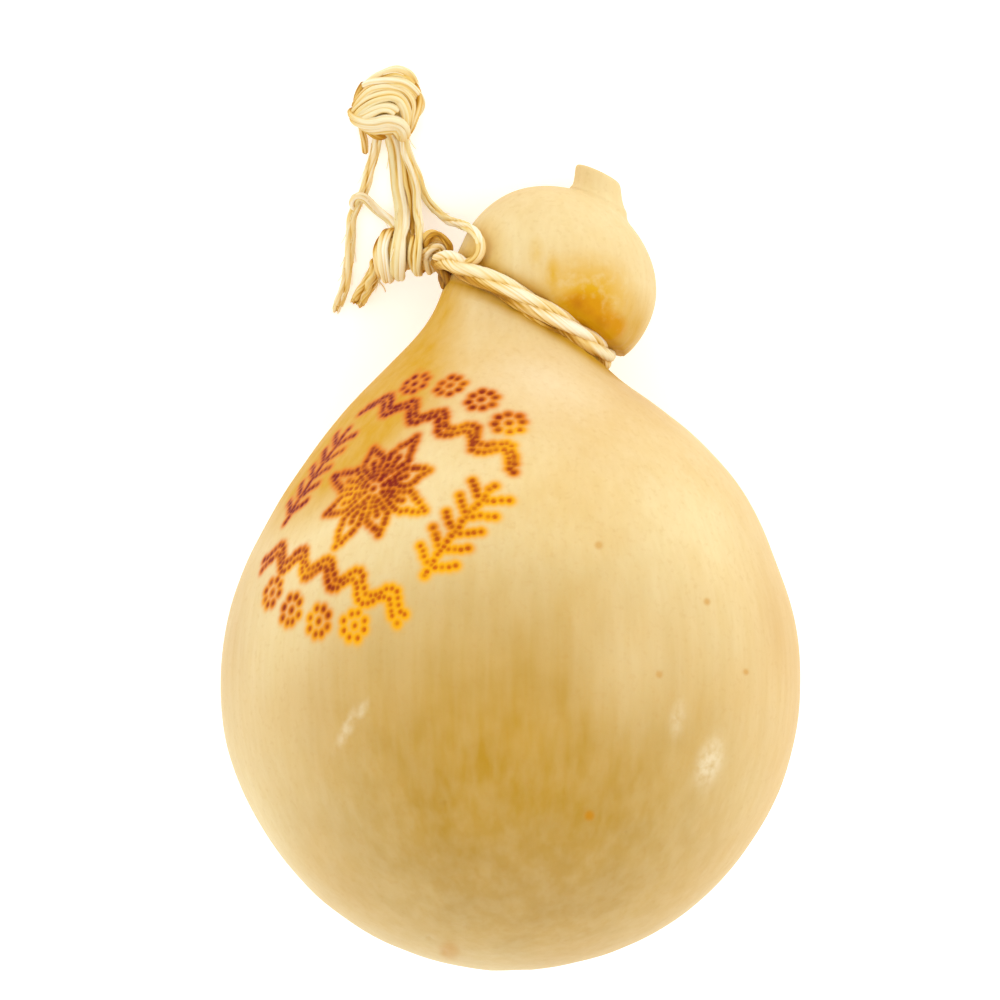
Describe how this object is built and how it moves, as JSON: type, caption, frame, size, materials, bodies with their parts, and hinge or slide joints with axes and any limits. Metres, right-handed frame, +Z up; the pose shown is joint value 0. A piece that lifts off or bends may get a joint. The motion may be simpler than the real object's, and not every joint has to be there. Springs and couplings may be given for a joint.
{
  "type": "caciocavallo cheese",
  "caption": "Gourd-shaped stretched-curd cheese lying on its side, with a round head and a small nub, tied round the neck with knotted twine.",
  "frame": {"origin": "centre of the cheese's box at floor level, with the loose twine left out", "axes": "+Y from the round body towards the head, +Z up out of the side that shows, +X to the right of that side"},
  "size_m": [0.1304, 0.1921, 0.1293],
  "materials": {
    "rind": "thin, smooth, waxy cheese rind, pale straw to golden brown, with a soft sheen",
    "twine": "cream natural-fibre twine, matt, with long soft fibres"
  },
  "bodies": {
    "root": {"cheese": "rind", "neck_loop": "twine", "neck_knot": "twine", "top_knot": "twine", "long_tail": "twine", "main_strand": "twine", "front_strand": "twine", "side_strand": "twine", "cross_strand": "twine", "short_tail": "twine"}
  },
  "joints": []
}
